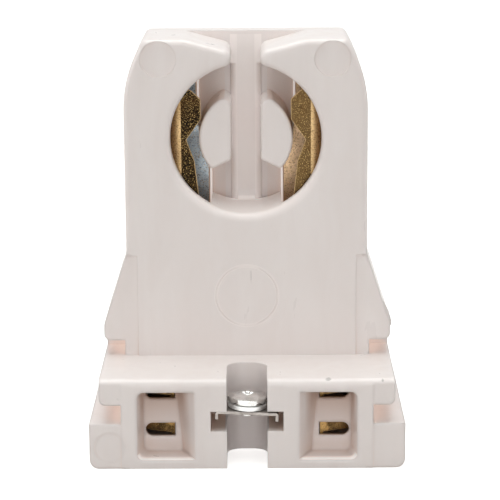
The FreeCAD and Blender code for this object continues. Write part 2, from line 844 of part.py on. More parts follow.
def make_screw(doc, d):
    """Short pan-head screw, modelled from the underside of its head."""
    body = new_body(doc, "screw")
    length = head_rise(d) + d.plate_thickness + d.screw_below_plate
    rise = d.head_height.value - d.head_side.value
    dome = (d.head_radius.value**2 + rise**2) / (2 * rise)
    turned = body.newObject("PartDesign::Revolution", "turned_form")
    turned.Profile = draw(body, "half_section", FRONT, 0, [[
        (0, -length),
        (d.screw_radius - d.screw_point, -length),
        (d.screw_radius, d.screw_point - length),
        (d.screw_radius, 0),
        (d.head_radius, 0),
        (d.head_radius, d.head_side, Arc(0, free(d.head_height.value - dome))),
        (0, d.head_height),
    ]])
    turned.ReferenceAxis = axis_of(body)
    turned.Angle = 360
    w, reach = d.recess_width * 0.5, d.recess_length * 0.5
    cross = [
        (reach, -w), (reach, w), (w, w), (w, reach), (-w, reach), (-w, w),
        (-reach, w), (-reach, -w), (-w, -w), (-w, -reach), (w, -reach), (w, -w),
    ]
    prism(body, "cross_recess", FLOOR, d.head_height - d.recess_depth, d.head_height + RUN_OUT, [cross], cut=True)
    lean(body, head_rise(d), screw_place(d), d)
    return body


def check(doc, bodies):
    for thing in doc.Objects:
        if "Invalid" in thing.State or "Error" in thing.State:
            raise RuntimeError("%s failed: %s" % (thing.Name, thing.State))
    for body in bodies:
        if body.Shape.isNull() or not body.Shape.isValid() or not body.Shape.Solids:
            raise RuntimeError("%s has no valid shape" % body.Label)


def main():
    doc = FreeCAD.newDocument("lamp_holder")
    d = Sheet(doc)
    doc.recompute()
    bodies = [
        make_housing(doc, d),
        make_cover(doc, d),
        make_contact(doc, d, "contact_left", -1),
        make_contact(doc, d, "contact_right", 1),
        make_nut_plate(doc, d),
        make_washer(doc, d),
        make_screw(doc, d),
    ]
    doc.recompute()
    check(doc, bodies)
    os.makedirs("parts", exist_ok=True)
    for body in bodies:
        body.Shape.exportStep("parts/%s.step" % body.Label)
        print(body.Label, round(body.Shape.Volume, 1), len(body.Shape.Solids), len(body.Shape.Faces))


main()
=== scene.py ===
"""Lamp holder for a two-pin fluorescent tube: finishes, screw, mould marks, floor, light and camera.

Lengths are metres in the model's own frame: +Z up, the lamp side towards -Y.
"""

import json
import math

import bpy
import bmesh
import numpy as np
from bpy.props import FloatProperty, FloatVectorProperty, PointerProperty
from bpy.types import Operator, Panel, PropertyGroup
from mathutils import Matrix, Vector


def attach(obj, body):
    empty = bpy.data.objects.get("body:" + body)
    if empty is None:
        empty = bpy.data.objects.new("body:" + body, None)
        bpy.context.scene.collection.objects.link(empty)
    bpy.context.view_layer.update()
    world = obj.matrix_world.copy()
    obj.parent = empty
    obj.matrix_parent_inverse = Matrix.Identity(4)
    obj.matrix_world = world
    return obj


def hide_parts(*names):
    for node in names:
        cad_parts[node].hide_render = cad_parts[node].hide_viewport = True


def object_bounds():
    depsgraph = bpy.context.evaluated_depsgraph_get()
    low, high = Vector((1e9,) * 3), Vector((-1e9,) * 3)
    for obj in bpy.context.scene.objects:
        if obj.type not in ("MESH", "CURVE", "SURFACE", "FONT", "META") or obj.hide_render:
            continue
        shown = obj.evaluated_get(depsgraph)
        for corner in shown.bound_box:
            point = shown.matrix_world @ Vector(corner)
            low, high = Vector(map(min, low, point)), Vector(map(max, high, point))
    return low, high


bl_info = {
    "name": "Tube Lamp Holder",
    "version": (1, 0),
    "blender": (4, 5, 0),
    "location": "3D View > Sidebar > Lamp Holder",
    "description": "Finishes, screw, mould marks and stage of a two-pin tube lamp holder",
    "category": "Object",
}

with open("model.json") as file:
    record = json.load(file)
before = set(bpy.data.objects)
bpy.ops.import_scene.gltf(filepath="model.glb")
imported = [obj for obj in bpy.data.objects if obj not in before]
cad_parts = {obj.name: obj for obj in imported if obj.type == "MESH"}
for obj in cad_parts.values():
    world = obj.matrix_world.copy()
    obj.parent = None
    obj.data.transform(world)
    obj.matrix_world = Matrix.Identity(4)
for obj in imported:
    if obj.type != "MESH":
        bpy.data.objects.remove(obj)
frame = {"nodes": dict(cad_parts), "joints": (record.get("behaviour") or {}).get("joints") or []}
cad_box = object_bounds()

MM = 0.001

# Rubbed-in dirt, in millimetres: centre, reach along each axis, strength
DIRT_MARKS = (
    ((8.45, -9.4, 9.55), (0.34, 0.5, 0.15), 0.55),
    ((14.1, -9.5, 9.45), (0.15, 0.5, 0.17), 0.6),
    ((0.46, -0.6, 18.4), (0.05, 0.4, 0.75), 0.4),
)

# Painted shade in the dark corners of the nut plate's slot, given the same way
SLOT_PAINTED_SHADE = (
    ((-3.25, -6.6, 5.75), (0.75, 2.4, 0.35), 0.9),
    ((3.8, -6.6, 5.2), (0.3, 2.4, 0.8), 0.95),
    ((2.9, -6.6, 5.6), (0.8, 2.4, 0.15), 0.6),
)

# Torn stub of the gate on the right wing: centre and reach in millimetres, lean in degrees
GATE_STUB = ((15.05, 1.2, 13.85), (0.3, 0.4, 1.35), -18.0)

# Painted light, given as emission, on the column's face and round edges and on the ribs beside the contacts,
# standing
# in for light through thin walls: distance from the middle and height in millimetres, and the painted light's
# strength.
# LIT_DEPTH is their depth.
LIT_SIDES = (
    ((0.0, 0.95), (24.0, 43.4), 0.04),
    ((0.95, 1.7), (24.0, 43.4), 0.1),
    ((3.7, 4.05), (24.0, 32.0), 0.42),
    ((5.05, 5.4), (24.0, 43.4), 0.42),
)
LIT_DEPTH = (6.5, 7.98)

# How far into the side grooves their painted light grows to its full strength, in millimetres
SEEP_REACH = 0.5

# The two wire wells with their rims: distance from the middle, depth and height in millimetres
WELL_SIDES = (4.4, 12.0)
WELL_DEPTH = (-10.6, -2.0)
WELL_HEIGHT = (0.3, 9.3)

# Their lower lips: distance from the middle, height, and the depth at which their painted highlight starts
# and is full
LIP_SIDES = (5.0, 11.6)
LIP_HEIGHT = (0.5, 2.2)
LIP_FADE = (-8.6, -9.3)

# Their back walls: the depth and the height between which their painted shade grows
WELL_DEEP = (-8.8, -7.6)
WELL_UPPER = (3.2, 7.0)

# Depth of the front face's skin, in which the gate ring and the socket's rim lie, in millimetres
FRONT_SKIN = (-1.0, 0.2)

# The gate ring in millimetres: centre, radius and half the width of the painted highlight on its edge
GATE_RING = ((0.0, 0.0, 16.25), 3.3, 0.2)

# The socket in millimetres: centre and radius, how wide and how deep its rim is soft, how far the rim's
# painted highlight reaches out, and the heights between which that painted highlight grows downwards
SOCKET = ((0.0, 0.0, 33.2), 8.02)
RIM_SOFT = 1.0
RIM_DEPTH = (-1.0, 1.2)
RIM_REACH = 0.9
RIM_FADE = (31.0, 27.0)

# The foot of the socket, where painted light gathers: distance from the middle, depth and height in
# millimetres
FOOT_SIDES = (-1.0, 5.4)
FOOT_DEPTH = (0.2, 7.0)
FOOT_HEIGHT = (24.8, 27.0)

# A face looks up when its normal's upward part is within these limits
UPWARDS = (0.3, 1.1)

# Share of open sky below which a recess has its full painted shade, and above which it has none: at the
# sides, in the middle
CLOSED = 0.06
OPEN_SIDES = 0.5
OPEN_MIDDLE = 0.42

# A leaf's flat face points forwards or backwards by more than this
LEAF_FACING = 0.6

# Edges of the CAD solids are shaded smooth below this angle
SMOOTH_BELOW = math.radians(24)

# Grain of the ragged spots of dirt and painted shade, lines that the rolls leave on brass, pits in zinc and
# grain of the floor's paint, in millimetres. The lines and pits are drawn coarser than real ones, so that
# they show.
SPOT_GRAIN = 0.3
ROLL_LINES = 0.12
PITS = 0.2
PAINT_GRAIN = 3.0

# Distance from the holder, in metres, between which the floor's glow grows to white
GLOW_GROWS = (0.05, 0.4)

# Steps of the stub's surface round it and from its foot to its tip
STUB_AROUND = 28
STUB_UP = 22

# Steps of the screw's surface round its axis, along one turn of its thread and over its head
STEPS_AROUND = 144
STEPS_PER_PITCH = 14
STEPS_OVER_HEAD = 90

# The thread's flank, as shares of the way from the middle of a root to the middle of a crest
FLANK = (0.12, 0.88)

# Where the thread grows above the screw's tip and how far below the head it dies out, in pitches
THREAD_GROWS = (0.1, 1.2)
THREAD_DIES = 0.5

# Share of its depth that the cross recess loses from the middle to the ends of its arms
RECESS_RISE = 0.45

# Refractive index of polycarbonate
POLYCARBONATE_IOR = 1.58

# Soft lamps: name, place, width in metres, power property, tint
PLAIN_WHITE = (1.0, 1.0, 1.0)
LAMPS = (
    ("lamp above", (0.0, -0.06, 0.42), 0.4, "above", (0.97, 1.0, 0.975)),
    ("lamp above and behind", (0.0, 0.12, 0.4), 0.3, "back", PLAIN_WHITE),
    ("lamp in front", (0.0, -0.42, 0.16), 0.3, "front", PLAIN_WHITE),
    ("lamp left", (-0.4, -0.02, 0.06), 0.3, "left", PLAIN_WHITE),
    ("lamp right", (0.4, -0.02, 0.06), 0.3, "right", PLAIN_WHITE),
)


def linear(code):
    """An sRGB hex colour as linear red, green, blue and alpha."""
    parts = [int(code[n:n + 2], 16) / 255 for n in (0, 2, 4)]
    return tuple(c / 12.92 if c <= 0.04045 else ((c + 0.055) / 1.055) ** 2.4 for c in parts) + (1.0,)


def colour(name, description, code):
    """A colour property with an sRGB hex default."""
    return FloatVectorProperty(
        name=name, description=description, subtype="COLOR", size=4, min=0, max=1, default=linear(code)
    )


def length(name, description, millimetres):
    """A length property, given in millimetres and held in metres."""
    return FloatProperty(
        name=name, description=description, default=millimetres * MM, unit="LENGTH", precision=5
    )


def fraction(name, description, value):
    """A property between 0 and 1."""
    return FloatProperty(name=name, description=description, default=value, min=0, max=1, subtype="FACTOR")


def angle(name, description, degrees):
    """An angle property, given in degrees and held in radians."""
    return FloatProperty(
        name=name, description=description, default=math.radians(degrees), unit="ROTATION"
    )


def power(name, description, watts):
    """A property for the power of a lamp."""
    return FloatProperty(name=name, description=description, default=watts, min=0, unit="POWER")


class MouldingLook(PropertyGroup):
    """Colours and grain of the two mouldings."""

    body: colour("Body", "Colour of the moulded body", "F1E9E6")
    streak: colour("Streak", "Colour of the faint flow streaks", "EBE1DD")
    # Painted shade: the darker, warmer tone laid on where ambient occlusion finds recesses
    recess: colour("Recess", "Warm tone of light caught deep between walls", "E7CEBF")
    # Painted shade high up on the wells' back walls
    well_painted_shade: colour("Well", "Tone high up on the back walls of the wire wells", "C9B1A4")
    # Painted highlight, given as emission, on the wells' lower lips
    well_lip: fraction("Well lip", "Light that the wells' rounded lower lips catch", 0.26)
    side_edge: length("Side edge", "Radius of the soft edges on the wings and end blocks", 0.35)
    well_edge: length("Well edge", "Radius of the wells' soft rims", 0.55)
    socket_edge: length("Socket edge", "Radius of the socket's soft rim", 0.55)
    # Painted shade in the open channels up the middle
    middle_recess: colour("Middle recess", "Greyer tone of the open channels up the middle", "E7DFDD")
    middle_half: length("Middle half width", "Half the width of the channels up the middle", 2.3)
    ramp_half: length("Ramp half width", "Half the width of the thin ramp at the socket's foot", 1.0)
    dirt: colour("Dirt", "Colour of the small rubbed-in marks", "8E8885")
    # Painted light: the emission tone of every glowing mark on the mouldings
    painted_light_tone: colour("Lit", "Tone of the light that comes through thin walls", "FBF3EE")
    # Painted shade: the dark tone of the nut plate's slot corners
    slot_painted_shade: colour("Grime", "Colour of the dark corners of the nut plate's slot", "40342D")
    streak_width: length("Streak width", "Width of one flow streak", 2.4)
    peel: length("Peel", "Size of the moulded skin's soft ripples", 0.5)
    edge: length("Edge", "Radius that the mould gives sharp edges", 0.12)
    corner_reach: length("Corner reach", "How far the walls lie that close a recess in", 7)
    scatter: length("Scatter", "How far light spreads inside the plastic", 0.5)
    # Painted light, given as emission: in the side grooves, on the gate ring's edge, on the socket's lower
    # rim and at its foot
    groove_painted_light: fraction("Seep", "Light that reaches the side grooves through their thin walls", 0.27)
    ring_light: fraction("Ring light", "Light that the gate ring's fine edge catches", 0.05)
    rim_light: fraction("Rim light", "Light that the socket's round lower rim catches", 0.14)
    foot_light: fraction("Foot light", "Light that gathers at the foot of the socket", 0.1)
    seep_start: length("Seep start", "Distance from the middle at which the side grooves begin", 12.9)
    side_start: length("Side start", "Distance from the middle at which the edges are softer", 12.3)


class BrassLook(PropertyGroup):
    """Colours and grain of the contact strips, with the painted shade, reflections, glints and edge
    highlights of their leaves.
    """

    # Clean brass, the strips' base tone, which also serves as the painted highlight along the cut edges
    metal: colour("Metal", "Clean brass of the bends and cut edges", "C6A87C")
    tarnish: colour("Tarnish", "Brown tarnish", "6A4A28")
    # Painted shade: the front leaves' dark tones
    left_front_painted_shade: colour("Left front", "Oil-stained front of the left strip", "17120D")
    right_front_painted_shade: colour("Right front", "Brown-gold front of the right strip", "58452C")
    # Painted highlight: bright specks of glints on the leaves
    painted_glint: colour("Glint", "Bright specks left between the stains", "C8A76C")
    dark: colour("Dark specks", "Dark specks of burnt oil", "2A1E12")
    terminal: colour("Terminal", "Dull brass of the legs and wire tongues", "B7945F")
    terminal_top: length("Terminal top", "Height below which the strips are dull", 9.2)
    # Painted reflections: the back leaves' grey-blue and tan tones
    left_back_painted_reflection: colour("Left back", "Grey-blue back leaf of the left strip", "A3AEB6")
    right_back_painted_reflection: colour("Right back", "Tan back leaf of the right strip", "D3B391")
    leaf_depth: length("Leaf depth", "Depth in the holder that parts front and back leaves", 4.5)
    bend_start: length("Bend start", "Distance from the middle at which the leaves bend", 6.9)
    blotch: length("Blotch", "Size of one tarnished patch", 1.9)
    speck: length("Speck", "Size of one dark speck", 0.16)
    edge: length("Edge", "Radius of the blanked edges", 0.05)
    # Painted highlight: the width of the bright line along each cut edge
    edge_highlight_width: length("Edge line", "Width of the clean line that the press leaves along each edge", 0.14)


class PlatingLook(PropertyGroup):
    """Colours and grain of the zinc-plated steel."""

    zinc: colour("Zinc", "Bright zinc plating", "E6E6E4")
    dull: colour("Dull", "Duller, handled zinc", "BDBBB7")
    # Painted shade: sheet and dull sheet are darker copies of the zinc, for the nut plate that lies in shade
    # in its slot
    sheet: colour("Sheet", "Greyed zinc of the nut plate", "A7A19C")
    sheet_dull: colour("Dull sheet", "Dark, handled patches of the nut plate", "7C7570")
    cloud: length("Cloud", "Size of one dull patch", 0.8)
    edge: length("Edge", "Radius of the tumbled edges", 0.05)


class ScrewSize(PropertyGroup):
    """Sizes of the machine screw that the box of its solid doesn't give."""

    head_height: length("Head height", "From the seat to the top of the head", 0.95)
    head_side: length("Head side", "Height of the head's straight side", 0.6)
    pitch: length("Pitch", "Rise of the thread in one turn", 0.45)
    root: length("Root radius", "Radius at the bottom of the thread", 1.0)
    crest: length("Crest radius", "Radius at the top of the thread", 1.25)
    arm_width: length("Arm width", "Width of the cross recess's arms", 0.42)
    arm_reach: length("Arm reach", "Length of the arms from the middle", 0.72)
    recess_depth: length("Recess depth", "Depth of the cross recess", 0.55)


class StageLook(PropertyGroup):
    """Camera place, floor and light."""

    camera_x: length("Camera X", "Camera place to the side", 1.37)
    camera_y: length("Camera Y", "Camera place in front", -216.15)
    camera_z: length("Camera Z", "Camera place above the floor", 72.13)
    elevation: angle("Elevation", "How far the camera looks down", 13.268)
    turn: angle("Turn", "How far the camera turns to its left", 0.2655)
    roll: angle("Roll", "How far the camera rolls", -0.354)
    focal: FloatProperty(
        name="Lens", description="Focal length in millimetres on a 36 mm film", default=149.53, unit="CAMERA"
    )
    floor: colour("Floor", "Painted floor", "F4F3F2")
    floor_bounce: colour("Floor bounce", "Tone that the floor throws back at the holder", "CFCCC9")
    floor_glow: fraction("Floor glow", "White that the floor adds round the holder for the camera", 0.72)
    floor_half: length("Floor size", "Half the floor's width", 900)
    above: power("Top light", "Power of the soft lamp overhead", 1.14)
    back: power("Back light", "Power of the soft lamp above and behind", 0.5)
    front: power("Front light", "Power of the soft lamp in front", 0.45)
    left: power("Left light", "Power of the soft lamp at the left", 0.6)
    right: power("Right light", "Power of the soft lamp at the right", 0.3)
    world: fraction("Room light", "Strength of the light from all round", 0.12)
    reflected: fraction("Reflected room", "Strength of the room that metal mirrors", 0.8)


def add_node(tree, kind, inputs=None, **settings):
    """Adds a node. Inputs maps its sockets to other nodes' outputs, or to plain values."""
    node = tree.nodes.new(kind)
    for name, value in settings.items():
        setattr(node, name, value)
    for socket, source in (inputs or {}).items():
        if isinstance(source, bpy.types.NodeSocket):
            tree.links.new(source, node.inputs[socket])
        else:
            node.inputs[socket].default_value = source
    return node


def new_material(name):
    """An empty node material and its tree."""
    material = bpy.data.materials.new(name)
    material.use_nodes = True
    material.node_tree.nodes.clear()
    return material, material.node_tree


def combine(tree, operation, first, *others):
    """Numbers and sockets joined one after another by an operation, such as MULTIPLY or ADD."""
    for other in others:
        first = add_node(tree, "ShaderNodeMath", {0: first, 1: other}, operation=operation).outputs[0]
    return first


def within(tree, value, low, high):
    """1 where a value lies between two limits, 0 elsewhere."""
    above = combine(tree, "GREATER_THAN", value, low)
    return combine(tree, "MULTIPLY", above, combine(tree, "LESS_THAN", value, high))


def zone(tree, *tests):
    """1 where each length lies between its own two limits, which are given in millimetres, 0 elsewhere."""
    shares = [within(tree, value, low * MM, high * MM) for value, (low, high) in tests]
    return combine(tree, "MULTIPLY", *shares)


def layered(tree, tone, layers):
    """A colour with layers of other colours over it, each given as its share and its colour."""
    for share, stain_and_painted_light in layers:
        tone = add_node(tree, "ShaderNodeMix", {
            "Factor": share, "A": tone, "B": stain_and_painted_light,
        }, data_type="RGBA").outputs["Result"]
    return tone


def from_axis(tree, place, centre):
    """Distance from the line that runs front to back through a centre, which is given in millimetres."""
    away = add_node(tree, "ShaderNodeVectorMath", {0: place, 1: Vector(centre) * MM}, operation="SUBTRACT")
    flat = add_node(tree, "ShaderNodeVectorMath", {0: away.outputs[0], 1: (1, 0, 1)}, operation="MULTIPLY")
    return add_node(tree, "ShaderNodeVectorMath", {0: flat.outputs[0]}, operation="LENGTH").outputs["Value"]


def painted_light_glow(tree, place, parts, depth, look):
    """Strength of the painted light, given as emission, that stands in for light through thin walls and for
    highlights on round edges: in the side grooves, where it grows with their depth, on the column, the ribs
    beside the contacts and the gate ring, on the wells' lower lips, and at the rim and foot of the socket."""
    side, back, height = parts
    facing = add_node(tree, "ShaderNodeNewGeometry").outputs["True Normal"]
    facing = add_node(tree, "ShaderNodeSeparateXYZ", {0: facing}).outputs["Z"]
    upwards = within(tree, facing, *UPWARDS)
    centre, radius, half = GATE_RING
    ring_distance = from_axis(tree, place, centre)
    ring = zone(tree, (ring_distance, (radius - half, radius + half)), (back, FRONT_SKIN))
    centre, radius = SOCKET
    socket_distance = from_axis(tree, place, centre)

    # Each growing share: its value, where it starts and where it is full, in metres, and its most
    growths = (
        (side, look.seep_start, look.seep_start + SEEP_REACH * MM, look.groove_painted_light),
        (back, LIP_FADE[0] * MM, LIP_FADE[1] * MM, look.well_lip),
        (height, RIM_FADE[0] * MM, RIM_FADE[1] * MM, look.rim_light),
        (socket_distance, (radius + RIM_REACH) * MM, radius * MM, 1),
    )
    groove, lip, lower, close = (
        add_node(tree, "ShaderNodeMapRange", {
            "Value": value, "From Min": start, "From Max": full, "To Max": most,
        }).outputs["Result"]
        for value, start, full, most in growths
    )
    lights = [
        combine(tree, "MULTIPLY", groove, depth),
        combine(tree, "MULTIPLY", ring, look.ring_light),
        combine(tree, "MULTIPLY", lip, upwards, zone(tree, (side, LIP_SIDES), (height, LIP_HEIGHT))),
        combine(tree, "MULTIPLY", lower, close, zone(tree, (back, FRONT_SKIN))),
        combine(
            tree, "MULTIPLY", look.foot_light, upwards,
            zone(tree, (side, FOOT_SIDES), (back, FOOT_DEPTH), (height, FOOT_HEIGHT)),
        ),
    ]
    lights += [
        combine(tree, "MULTIPLY", strength, zone(tree, (side, reach), (back, LIT_DEPTH), (height, rise)))
        for reach, rise, strength in LIT_SIDES
    ]
    return combine(tree, "ADD", *lights)


def dirt_and_shade_spot(tree, place, centre, reach, strength):
    """A ragged spot, used for dirt and for painted shade: full within the ellipsoid of the three reaches
    round its centre, nothing outside.
    """
    away = add_node(tree, "ShaderNodeVectorMath", {0: place, 1: Vector(centre) * MM}, operation="SUBTRACT")
    scaled = add_node(tree, "ShaderNodeVectorMath", {
        0: away.outputs[0], 1: Vector(reach) * MM,
    }, operation="DIVIDE").outputs[0]
    far = add_node(tree, "ShaderNodeVectorMath", {0: scaled}, operation="LENGTH").outputs["Value"]
    ragged = add_node(tree, "ShaderNodeTexNoise", {
        "Vector": place, "Scale": 1 / (SPOT_GRAIN * MM), "Detail": 3, "Roughness": 0.7,
    }).outputs["Fac"]
    return add_node(tree, "ShaderNodeMapRange", {
        "Value": combine(tree, "ADD", far, ragged), "From Min": 1.1, "From Max": 1.6,
        "To Min": strength, "To Max": 0,
    }).outputs["Result"]


def moulded_polycarbonate(look):
    """Injection-moulded polycarbonate: a satin skin, soft edges that let a little light through, faint
    flow streaks up the body, painted shade that makes the recesses darker, warmer at the sides and greyer up
    the middle, painted light given as emission on thin walls, rims and lips, and a few marks: dirt, and
    painted shade."""
    material, tree = new_material("moulded polycarbonate")
    place = add_node(tree, "ShaderNodeTexCoord").outputs["Object"]
    side, back, height = add_node(tree, "ShaderNodeSeparateXYZ", {0: place}).outputs
    side = add_node(tree, "ShaderNodeMath", {0: side}, operation="ABSOLUTE").outputs[0]

    # Flow streaks are drawn out up the body
    along = add_node(tree, "ShaderNodeMapping", {"Vector": place, "Scale": (1, 1, 0.22)}).outputs["Vector"]
    streaks = add_node(tree, "ShaderNodeTexNoise", {
        "Vector": along, "Scale": 1 / look.streak_width, "Detail": 4, "Roughness": 0.6, "Distortion": 0.6,
    }).outputs["Fac"]
    streak = add_node(tree, "ShaderNodeMapRange", {
        "Value": streaks, "From Min": 0.35, "From Max": 0.75, "To Max": 0.6,
    }).outputs["Result"]

    # Painted shade: recesses that ambient occlusion finds get a darker tone, warm at the sides and greyer in
    # the channels up the middle
    sky = add_node(tree, "ShaderNodeAmbientOcclusion", {
        "Distance": look.corner_reach,
    }, samples=8).outputs["AO"]
    middle = combine(tree, "LESS_THAN", side, look.middle_half)
    open_sky = add_node(tree, "ShaderNodeMapRange", {
        "Value": middle, "To Min": OPEN_SIDES, "To Max": OPEN_MIDDLE,
    }).outputs["Result"]
    depth = add_node(tree, "ShaderNodeMapRange", {
        "Value": sky, "From Min": CLOSED, "From Max": open_sky, "To Min": 1, "To Max": 0,
    }).outputs["Result"]
    painted_recess_shade = layered(tree, look.recess, [(middle, look.middle_recess)])

    # Painted shade: the wells' back walls get a darker, warmer tone high up
    wells = zone(tree, (side, WELL_SIDES), (back, WELL_DEPTH), (height, WELL_HEIGHT))
    well_painted_shade = wells
    for value, limits in ((back, WELL_DEEP), (height, WELL_UPPER)):
        grown = add_node(tree, "ShaderNodeMapRange", {
            "Value": value, "From Min": limits[0] * MM, "From Max": limits[1] * MM,
        }).outputs["Result"]
        well_painted_shade = combine(tree, "MULTIPLY", well_painted_shade, grown)
    # Real flow streaks, then the painted shade of the recesses and of the wells' back walls
    layers = [(streak, look.streak), (depth, painted_recess_shade), (well_painted_shade, look.well_painted_shade)]
    # Real dirt marks, and painted shade in the corners of the nut plate's slot
    for marks, stain_and_painted_light in ((DIRT_MARKS, look.dirt), (SLOT_PAINTED_SHADE, look.slot_painted_shade)):
        layers += [(dirt_and_shade_spot(tree, place, *mark), stain_and_painted_light) for mark in marks]

    # Edges are rounder on the wings and end blocks, round the wells and the socket, and sharp on the ramp
    centre, radius = SOCKET
    rim_zone = (radius - RIM_SOFT, radius + RIM_SOFT)
    rim = zone(tree, (from_axis(tree, place, centre), rim_zone), (back, RIM_DEPTH))
    off_ramp = combine(tree, "GREATER_THAN", side, look.ramp_half)
    sides = combine(tree, "GREATER_THAN", side, look.side_start)
    soft = combine(tree, "ADD", *(
        combine(tree, "MULTIPLY", share, reach) for share, reach in (
            (rim, look.socket_edge), (off_ramp, look.edge), (wells, look.well_edge), (sides, look.side_edge),
        )
    ))
    edge = add_node(tree, "ShaderNodeBevel", {"Radius": soft}, samples=8).outputs["Normal"]
    ripples = add_node(tree, "ShaderNodeTexNoise", {
        "Vector": place, "Scale": 1 / look.peel, "Detail": 3, "Roughness": 0.5,
    }).outputs["Fac"]
    normal = add_node(tree, "ShaderNodeBump", {
        "Height": ripples, "Normal": edge, "Strength": 0.35, "Distance": 0.02 * MM,
    }).outputs["Normal"]
    gloss = add_node(tree, "ShaderNodeMapRange", {
        "Value": streaks, "From Min": 0.3, "From Max": 0.7, "To Min": 0.27, "To Max": 0.4,
    }).outputs["Result"]
    # The emission is painted light: glow on thin walls, ribs, rims and lips
    shader = add_node(tree, "ShaderNodeBsdfPrincipled", {
        "Base Color": layered(tree, look.body, layers), "Roughness": gloss, "Normal": normal,
        "IOR": POLYCARBONATE_IOR, "Subsurface Weight": 0.2, "Subsurface Radius": (1, 0.92, 0.88),
        "Subsurface Scale": look.scatter, "Emission Color": look.painted_light_tone,
        "Emission Strength": painted_light_glow(tree, place, (side, back, height), depth, look),
    })
    add_node(tree, "ShaderNodeOutputMaterial", {"Surface": shader.outputs["BSDF"]})
    return material


def edge_highlight_share(tree, width):
    """Share of the painted highlight along the edges of a piece, up to 0.85 where the rounded normal leans
    away from the true one, 0 on its faces.
    """
    rounded = add_node(tree, "ShaderNodeBevel", {"Radius": width}, samples=6).outputs["Normal"]
    true = add_node(tree, "ShaderNodeNewGeometry").outputs["Normal"]
    alike = add_node(tree, "ShaderNodeVectorMath", {
        0: rounded, 1: true,
    }, operation="DOT_PRODUCT").outputs["Value"]
    return add_node(tree, "ShaderNodeMapRange", {
        "Value": alike, "From Min": 0.9, "From Max": 0.985, "To Min": 0.85, "To Max": 0,
    }).outputs["Result"]


def rolled_brass(look, name, front, back):
    """Cold-rolled brass strip, blanked and folded: mirror bright with fine lines along the strip, painted
    shade on its front leaves and painted reflections on its back leaves in their own tones, brown tarnish in
    patches, specks from the press oil, painted glints, and a painted highlight along the cut edges."""
    material, tree = new_material(name)
    place = add_node(tree, "ShaderNodeTexCoord").outputs["Object"]
    side, depth, height = add_node(tree, "ShaderNodeSeparateXYZ", {0: place}).outputs
    facing = add_node(tree, "ShaderNodeNewGeometry").outputs["True Normal"]
    facing = add_node(tree, "ShaderNodeSeparateXYZ", {0: facing}).outputs["Y"]
    side, facing = (
        add_node(tree, "ShaderNodeMath", {0: value}, operation="ABSOLUTE").outputs[0]
        for value in (side, facing)
    )
    grains = ((look.blotch, 3, 0.6), (look.speck, 2, 0.7), (0.7 * look.speck, 1, 0.5))
    patches, specks, dots = (
        add_node(tree, "ShaderNodeTexNoise", {
            "Vector": place, "Scale": 1 / size, "Detail": detail, "Roughness": roughness,
        }).outputs["Fac"]
        for size, detail, roughness in grains
    )
    both = combine(tree, "ADD", patches, specks)

    # The flat faces of the two leaves, but not their bends, web and cut edges
    flat = combine(
        tree, "MULTIPLY", combine(tree, "LESS_THAN", side, look.bend_start),
        combine(tree, "GREATER_THAN", facing, LEAF_FACING),
    )
    front_leaf, back_leaf = (
        combine(tree, "MULTIPLY", flat, combine(tree, operation, depth, look.leaf_depth))
        for operation in ("LESS_THAN", "GREATER_THAN")
    )
    low = combine(tree, "LESS_THAN", height, look.terminal_top)
    # The leaves' own tones: painted shade on the front leaves, painted reflections on the back leaves
    layers = [(front_leaf, front), (back_leaf, back), (low, look.terminal)]

    # Where each stain, and the painted glint, lies, its pattern, the pattern's values at which it starts and
    # is full, and its most
    stains_and_glints = (
        (low, patches, 0.46, 0.6, 0.8, look.dark),
        (1.0, both, 0.98, 1.2, 0.25, look.tarnish),
        (1.0, specks, 0.54, 0.67, 0.6, look.dark),
        (1.0, dots, 0.57, 0.72, 0.6, look.painted_glint),
    )
    for area, pattern, start, full, most, stain_and_painted_light in stains_and_glints:
        share = add_node(tree, "ShaderNodeMapRange", {
            "Value": pattern, "From Min": start, "From Max": full, "To Max": most,
        }).outputs["Result"]
        layers.append((combine(tree, "MULTIPLY", area, share), stain_and_painted_light))
    # Painted highlight along the cut edges, in the clean brass tone
    layers.append((edge_highlight_share(tree, look.edge_highlight_width), look.metal))

    # The leaves' flat faces shine most, and bends, cut edges and tarnish are duller
    gloss = add_node(tree, "ShaderNodeMapRange", {
        "Value": both, "From Min": 0.8, "From Max": 1.2, "To Min": 0.26, "To Max": 0.46,
    }).outputs["Result"]
    matt = add_node(tree, "ShaderNodeMapRange", {
        "Value": combine(tree, "ADD", front_leaf, back_leaf), "To Min": 0.2, "To Max": 0,
    }).outputs["Result"]
    along = add_node(tree, "ShaderNodeMapping", {"Vector": place, "Scale": (1, 1, 0.04)}).outputs["Vector"]
    lines = add_node(tree, "ShaderNodeTexNoise", {
        "Vector": along, "Scale": 1 / (ROLL_LINES * MM), "Detail": 2,
    }).outputs["Fac"]
    edge = add_node(tree, "ShaderNodeBevel", {"Radius": look.edge}, samples=4).outputs["Normal"]
    normal = add_node(tree, "ShaderNodeBump", {
        "Height": lines, "Normal": edge, "Strength": 0.3, "Distance": 0.01 * MM,
    }).outputs["Normal"]
    shader = add_node(tree, "ShaderNodeBsdfPrincipled", {
        "Base Color": layered(tree, look.metal, layers), "Roughness": combine(tree, "ADD", gloss, matt),
        "Normal": normal, "Metallic": 1.0,
    })
    add_node(tree, "ShaderNodeOutputMaterial", {"Surface": shader.outputs["BSDF"]})
    return material


